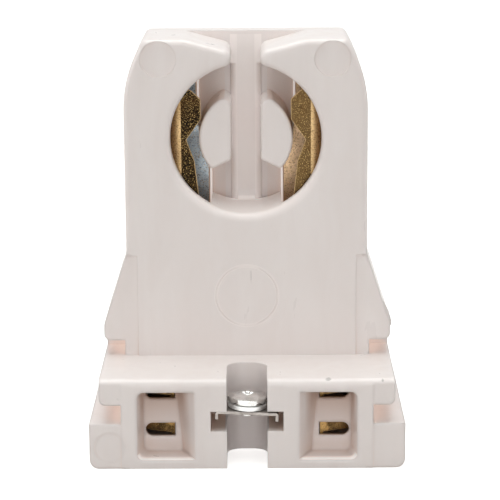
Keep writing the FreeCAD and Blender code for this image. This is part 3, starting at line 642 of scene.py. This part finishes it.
def plated_steel(look, name, roughness, bright, dull):
    """Zinc-plated steel, barrel plated: bright and bluish white, cloudy where it was handled."""
    material, tree = new_material(name)
    place = add_node(tree, "ShaderNodeTexCoord").outputs["Object"]
    clouds = add_node(tree, "ShaderNodeTexNoise", {
        "Vector": place, "Scale": 1 / look.cloud, "Detail": 4, "Roughness": 0.65,
    }).outputs["Fac"]
    share = add_node(tree, "ShaderNodeMapRange", {
        "Value": clouds, "From Min": 0.4, "From Max": 0.7, "To Max": 0.8,
    }).outputs["Result"]
    gloss = add_node(tree, "ShaderNodeMapRange", {
        "Value": clouds, "From Min": 0.3, "From Max": 0.7,
        "To Min": roughness * 0.7, "To Max": roughness * 1.5,
    }).outputs["Result"]
    pits = add_node(tree, "ShaderNodeTexNoise", {
        "Vector": place, "Scale": 1 / (PITS * MM), "Detail": 3,
    }).outputs["Fac"]
    edge = add_node(tree, "ShaderNodeBevel", {"Radius": look.edge}, samples=4).outputs["Normal"]
    normal = add_node(tree, "ShaderNodeBump", {
        "Height": pits, "Normal": edge, "Strength": 0.4, "Distance": 0.015 * MM,
    }).outputs["Normal"]
    shader = add_node(tree, "ShaderNodeBsdfPrincipled", {
        "Base Color": layered(tree, bright, [(share, dull)]), "Roughness": gloss, "Normal": normal,
        "Metallic": 1.0,
    })
    add_node(tree, "ShaderNodeOutputMaterial", {"Surface": shader.outputs["BSDF"]})
    return material


def painted_floor(look):
    """Matt white paint, white to the camera and greyer to the holder, which it lights little from below."""
    material, tree = new_material("matt white paint")
    place = add_node(tree, "ShaderNodeTexCoord").outputs["Object"]
    grain = add_node(tree, "ShaderNodeTexNoise", {
        "Vector": place, "Scale": 1 / (PAINT_GRAIN * MM), "Detail": 3,
    }).outputs["Fac"]
    normal = add_node(tree, "ShaderNodeBump", {
        "Height": grain, "Strength": 0.05, "Distance": 0.05 * MM,
    }).outputs["Normal"]
    path = add_node(tree, "ShaderNodeLightPath").outputs
    seen = combine(tree, "MAXIMUM", path["Is Camera Ray"], path["Is Glossy Ray"])
    paint = add_node(tree, "ShaderNodeBsdfPrincipled", {
        "Base Color": layered(tree, look.floor_bounce, [(seen, look.floor)]), "Roughness": 0.9,
        "Normal": normal, "Specular IOR Level": 0.1,
    }).outputs["BSDF"]
    far = add_node(tree, "ShaderNodeVectorMath", {0: place}, operation="LENGTH").outputs["Value"]
    white = add_node(tree, "ShaderNodeMapRange", {
        "Value": far, "From Min": GLOW_GROWS[0], "From Max": GLOW_GROWS[1], "To Min": look.floor_glow,
    }).outputs["Result"]
    glow = add_node(tree, "ShaderNodeEmission", {
        "Color": look.floor, "Strength": combine(tree, "MULTIPLY", seen, white),
    }).outputs["Emission"]
    both = add_node(tree, "ShaderNodeAddShader", {0: paint, 1: glow}).outputs["Shader"]
    add_node(tree, "ShaderNodeOutputMaterial", {"Surface": both})
    return material


def smooth_rounds():
    """A node modifier that joins a solid's triangles and shades its rounds smooth, its corners sharp."""
    group = bpy.data.node_groups.get("smooth rounds")
    if group:
        return group
    group = bpy.data.node_groups.new("smooth rounds", "GeometryNodeTree")
    for direction in ("INPUT", "OUTPUT"):
        group.interface.new_socket("Geometry", in_out=direction, socket_type="NodeSocketGeometry")
    shape = add_node(group, "NodeGroupInput").outputs["Geometry"]
    shape = add_node(group, "GeometryNodeRemoveAttribute", {"Geometry": shape, "Name": "custom_normal"})
    shape = add_node(group, "GeometryNodeMergeByDistance", {
        "Geometry": shape.outputs[0], "Distance": 0.002 * MM,
    })
    bend = add_node(group, "GeometryNodeInputMeshEdgeAngle").outputs["Unsigned Angle"]
    sharp = add_node(group, "FunctionNodeCompare", {0: bend, 1: SMOOTH_BELOW}, operation="GREATER_THAN")
    shape = add_node(group, "GeometryNodeSetShadeSmooth", {
        "Geometry": shape.outputs[0], "Shade Smooth": True,
    }, domain="FACE")
    shape = add_node(group, "GeometryNodeSetShadeSmooth", {
        "Geometry": shape.outputs[0], "Selection": sharp.outputs[0], "Shade Smooth": False,
    }, domain="EDGE")
    add_node(group, "NodeGroupOutput", {"Geometry": shape.outputs[0]})
    return group


def dress(node, material):
    """Gives a solid its material and smooth rounds."""
    obj = frame["nodes"][node]
    obj.data.materials.clear()
    obj.data.materials.append(material)
    obj.modifiers.new("smooth rounds", "NODES").node_group = smooth_rounds()


def grid_piece(name, points, material):
    """A surface through points[i, j]: quads between neighbours, with the last column joined to the first."""
    rows, columns = points.shape[:2]
    index = np.arange(rows * columns).reshape(rows, columns)
    right = np.roll(index, -1, axis=1)
    quads = np.stack([index[:-1], right[:-1], right[1:], index[1:]], axis=-1).reshape(-1, 4)
    mesh = bpy.data.meshes.new(name)
    mesh.from_pydata(points.reshape(-1, 3), [], quads.tolist())
    work = bmesh.new()
    work.from_mesh(mesh)
    bmesh.ops.remove_doubles(work, verts=work.verts, dist=0.001 * MM)
    bmesh.ops.recalc_face_normals(work, faces=work.faces)
    work.to_mesh(mesh)
    work.free()
    mesh.polygons.foreach_set("use_smooth", np.ones(len(mesh.polygons), bool))
    mesh.materials.append(material)
    piece = bpy.data.objects.new(name, mesh)
    bpy.context.scene.collection.objects.link(piece)
    return piece


def gate_stub(centre, reach, lean):
    """The torn stub that the gate left: an ellipsoid over two angles, its radius made ragged by waves of
    both, turned about the front-to-back axis to lean with the wing's edge."""
    around = np.linspace(0, 2 * np.pi, STUB_AROUND, endpoint=False)[None, :]
    up = np.linspace(-np.pi / 2, np.pi / 2, STUB_UP)[:, None]
    ragged = 1 + 0.16 * np.sin(5 * around + 7 * up) * np.cos(9 * up) + 0.1 * np.sin(11 * around - 13 * up)
    x = reach[0] * np.cos(up) * np.cos(around) * ragged
    y = reach[1] * np.cos(up) * np.sin(around) * ragged
    z = reach[2] * np.sin(up) * np.broadcast_to(ragged, x.shape)
    turned = x * math.cos(lean) + z * math.sin(lean), y, z * math.cos(lean) - x * math.sin(lean)
    return np.stack([part + middle for part, middle in zip(turned, centre)], axis=-1) * MM


def ramp(value, low, high):
    """0 below low, 1 above high, and a smooth step between."""
    part = np.clip((value - low) / (high - low), 0, 1)
    return part * part * (3 - 2 * part)


def screw_axis():
    """The foot and direction of the axis that the screw turns about."""
    joint = next(j for j in frame["joints"] if j["name"] == "screw_turn")
    return Vector(joint["pos_m"]), Vector(joint["axis"]).normalized()


def screw_surface(size, bottom, top, head_radius):
    """The machine screw about its own axis, as a radius and a height over (step along the profile, angle).

    Shank: the radius runs from root to crest with the distance from the helix z = pitch * angle / turn. The
    thread grows from a narrower point and dies out below the head. Head: a straight side, then a circle's
    arc over the top. The cross recess lowers the arc by its depth wherever a point lies within either arm,
    with sloping walls."""
    corner = 0.06 * MM
    soft = 0.12 * MM
    point = 0.15 * MM
    turns = np.linspace(0, 2 * np.pi, STEPS_AROUND, endpoint=False)[None, :]
    seat = top - size.head_height
    z = np.arange(bottom, seat, size.pitch / STEPS_PER_PITCH)[:, None]
    phase = (z - bottom) / size.pitch - turns / (2 * np.pi)
    away = np.abs(phase - np.round(phase)) * 2
    depth = (size.crest - size.root) * ramp(away, *FLANK)
    taper = ramp(z, *(bottom + share * size.pitch for share in THREAD_GROWS))
    fade = 1 - ramp(z, seat - THREAD_DIES * size.pitch, seat)
    shank = (size.root + depth * taper) * fade + size.root * (1 - fade) - point * (1 - taper)
    rise = size.head_height - size.head_side
    dome = (head_radius ** 2 + rise ** 2) / (2 * rise)
    profile = np.array([
        [size.root, seat], [head_radius - corner, seat], [head_radius, seat + corner],
        [head_radius, seat + size.head_side - corner],
    ])
    over = head_radius * np.sqrt(np.linspace(1, 0, STEPS_OVER_HEAD)) * (1 - 1e-6)
    over_z = top - dome + np.sqrt(dome ** 2 - over ** 2)
    radius = np.concatenate([[0], np.zeros(len(z)), profile[:, 0], over])
    height = np.concatenate([[bottom], z[:, 0], profile[:, 1], over_z])
    radius = np.repeat(radius[:, None], turns.size, axis=1)
    height = np.repeat(height[:, None], turns.size, axis=1)
    radius[1:1 + len(z)] = shank
    x, y = radius * np.cos(turns), radius * np.sin(turns)
    half = size.arm_width / 2
    arms = [
        (1 - ramp(np.abs(across), half - soft, half + soft))
        * (1 - ramp(np.abs(along), size.arm_reach - 3 * soft, size.arm_reach))
        for across, along in ((x, y), (y, x))
    ]
    sloped = (1 - RECESS_RISE * radius / size.arm_reach).clip(0, 1)
    sink = size.recess_depth * np.maximum(*arms) * sloped
    first = len(z) + 1 + len(profile)
    height[first:] -= sink[first:]
    return np.stack([x, y, height], axis=-1)


class LAMPHOLDER_OT_mouldings(Operator):
    """Finish the housing and its back cover"""

    bl_idname = "lampholder.mouldings"
    bl_label = "Mouldings"

    def execute(self, context):
        look = context.scene.moulding_look
        material = moulded_polycarbonate(look)
        for node in ("housing", "back_cover"):
            dress(node, material)
        centre, reach, lean = GATE_STUB
        stub = grid_piece("gate_stub", gate_stub(centre, reach, math.radians(lean)), material)
        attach(stub, "holder")
        return {"FINISHED"}


class LAMPHOLDER_OT_contacts(Operator):
    """Finish the two folded contact strips"""

    bl_idname = "lampholder.contacts"
    bl_label = "Contacts"

    def execute(self, context):
        look = context.scene.brass_look
        dress("contact_left", rolled_brass(look, "rolled brass, left", look.left_front_painted_shade, look.left_back_painted_reflection))
        dress("contact_right", rolled_brass(look, "rolled brass, right", look.right_front_painted_shade, look.right_back_painted_reflection))
        return {"FINISHED"}


class LAMPHOLDER_OT_plate(Operator):
    """Finish the nut plate and the spring washer"""

    bl_idname = "lampholder.plate"
    bl_label = "Nut Plate and Washer"

    def execute(self, context):
        look = context.scene.plating_look
        # The nut plate gets the darker zinc tones, which are painted shade
        dress("nut_plate", plated_steel(look, "zinc-plated sheet", 0.4, look.sheet, look.sheet_dull))
        dress("spring_washer", plated_steel(look, "zinc-plated spring steel", 0.5, look.zinc, look.zinc))
        return {"FINISHED"}


class LAMPHOLDER_OT_screw(Operator):
    """Make the machine screw with its thread and cross recess"""

    bl_idname = "lampholder.screw"
    bl_label = "Machine Screw"

    def execute(self, context):
        foot, axis = screw_axis()
        solid = [vertex.co - foot for vertex in frame["nodes"]["screw"].data.vertices]
        heights = [place.dot(axis) for place in solid]
        radius = max((place - axis * height).length for place, height in zip(solid, heights))
        points = screw_surface(context.scene.screw_size, min(heights), max(heights), radius)
        turn = np.array(Vector((0, 0, 1)).rotation_difference(axis).to_matrix())
        look = context.scene.plating_look
        material = plated_steel(look, "zinc-plated screw steel", 0.14, look.zinc, look.dull)
        screw = grid_piece("machine_screw", points @ turn.T + np.array(foot), material)
        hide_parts("screw")
        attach(screw, "fastener")
        return {"FINISHED"}


def soft_lamp(name, place, aim, width, watts, tint):
    """A square area lamp at place, turned to aim."""
    light = bpy.data.lights.new(name, "AREA")
    light.size = width
    light.energy = watts
    light.color = tint
    lamp = bpy.data.objects.new(name, light)
    lamp.location = place
    lamp.rotation_euler = (Vector(aim) - Vector(place)).to_track_quat("-Z", "Y").to_euler()
    bpy.context.scene.collection.objects.link(lamp)


def white_room(strength, reflected):
    """A world that lights evenly from all round, mirrors brighter in metal and shows white to the camera."""
    world = bpy.data.worlds.new("white room")
    world.use_nodes = True
    tree = world.node_tree
    tree.nodes.clear()
    path = add_node(tree, "ShaderNodeLightPath").outputs
    seen = combine(tree, "MAXIMUM", path["Is Camera Ray"], path["Is Transmission Ray"])
    glow = add_node(tree, "ShaderNodeMapRange", {
        "Value": path["Is Glossy Ray"], "To Min": strength, "To Max": reflected,
    }).outputs["Result"]
    glow = add_node(tree, "ShaderNodeMapRange", {"Value": seen, "To Min": glow}).outputs["Result"]
    light = add_node(tree, "ShaderNodeBackground", {"Color": (1, 1, 1, 1), "Strength": glow}).outputs[0]
    add_node(tree, "ShaderNodeOutputWorld", {"Surface": light})
    return world


class LAMPHOLDER_OT_stage(Operator):
    """Set the floor, soft light and camera"""

    bl_idname = "lampholder.stage"
    bl_label = "Stage"

    def execute(self, context):
        look = context.scene.stage_look
        half = look.floor_half
        corners = np.array([(-half, -half, 0), (half, -half, 0), (half, half, 0), (-half, half, 0)])
        mesh = bpy.data.meshes.new("floor")
        mesh.from_pydata(corners, [], [(0, 1, 2, 3)])
        mesh.materials.append(painted_floor(look))
        floor = bpy.data.objects.new("floor", mesh)
        context.scene.collection.objects.link(floor)
        low, high = cad_box
        aim = (0, 0, (low[2] + high[2]) / 2)
        for name, place, width, watts, tint in LAMPS:
            soft_lamp(name, place, aim, width, getattr(look, watts), tint)
        context.scene.world = white_room(look.world, look.reflected)
        lens = bpy.data.cameras.new("camera")
        lens.lens = look.focal
        lens.sensor_width = 36
        lens.clip_start = 0.01
        camera = bpy.data.objects.new("camera", lens)
        camera.matrix_world = (
            Matrix.Translation((look.camera_x, look.camera_y, look.camera_z))
            @ Matrix.Rotation(look.turn, 4, "Z")
            @ Matrix.Rotation(math.pi / 2 - look.elevation, 4, "X")
            @ Matrix.Rotation(look.roll, 4, "Z")
        )
        context.scene.collection.objects.link(camera)
        context.scene.camera = camera
        context.scene.view_settings.view_transform = "Standard"
        return {"FINISHED"}


OPERATORS = (
    LAMPHOLDER_OT_mouldings,
    LAMPHOLDER_OT_contacts,
    LAMPHOLDER_OT_plate,
    LAMPHOLDER_OT_screw,
    LAMPHOLDER_OT_stage,
)


class LAMPHOLDER_PT_panel(Panel):
    """Shows a button for each operator"""

    bl_label = "Lamp Holder"
    bl_space_type = "VIEW_3D"
    bl_region_type = "UI"
    bl_category = "Lamp Holder"

    def draw(self, context):
        for operator in OPERATORS:
            self.layout.operator(operator.bl_idname)


GROUPS = {
    "moulding_look": MouldingLook,
    "brass_look": BrassLook,
    "plating_look": PlatingLook,
    "screw_size": ScrewSize,
    "stage_look": StageLook,
}


def register():
    """Adds the properties, the operators and the panel."""
    for name, group in GROUPS.items():
        bpy.utils.register_class(group)
        setattr(bpy.types.Scene, name, PointerProperty(type=group))
    for item in OPERATORS + (LAMPHOLDER_PT_panel,):
        bpy.utils.register_class(item)


def unregister():
    """Takes away what register added."""
    for item in reversed(OPERATORS + (LAMPHOLDER_PT_panel,)):
        bpy.utils.unregister_class(item)
    for name, group in GROUPS.items():
        delattr(bpy.types.Scene, name)
        bpy.utils.unregister_class(group)


def main():
    """Makes each group of pieces and the stage."""
    register()
    bpy.ops.lampholder.mouldings()
    bpy.ops.lampholder.contacts()
    bpy.ops.lampholder.plate()
    bpy.ops.lampholder.screw()
    bpy.ops.lampholder.stage()


if __name__ == "__main__":
    main()
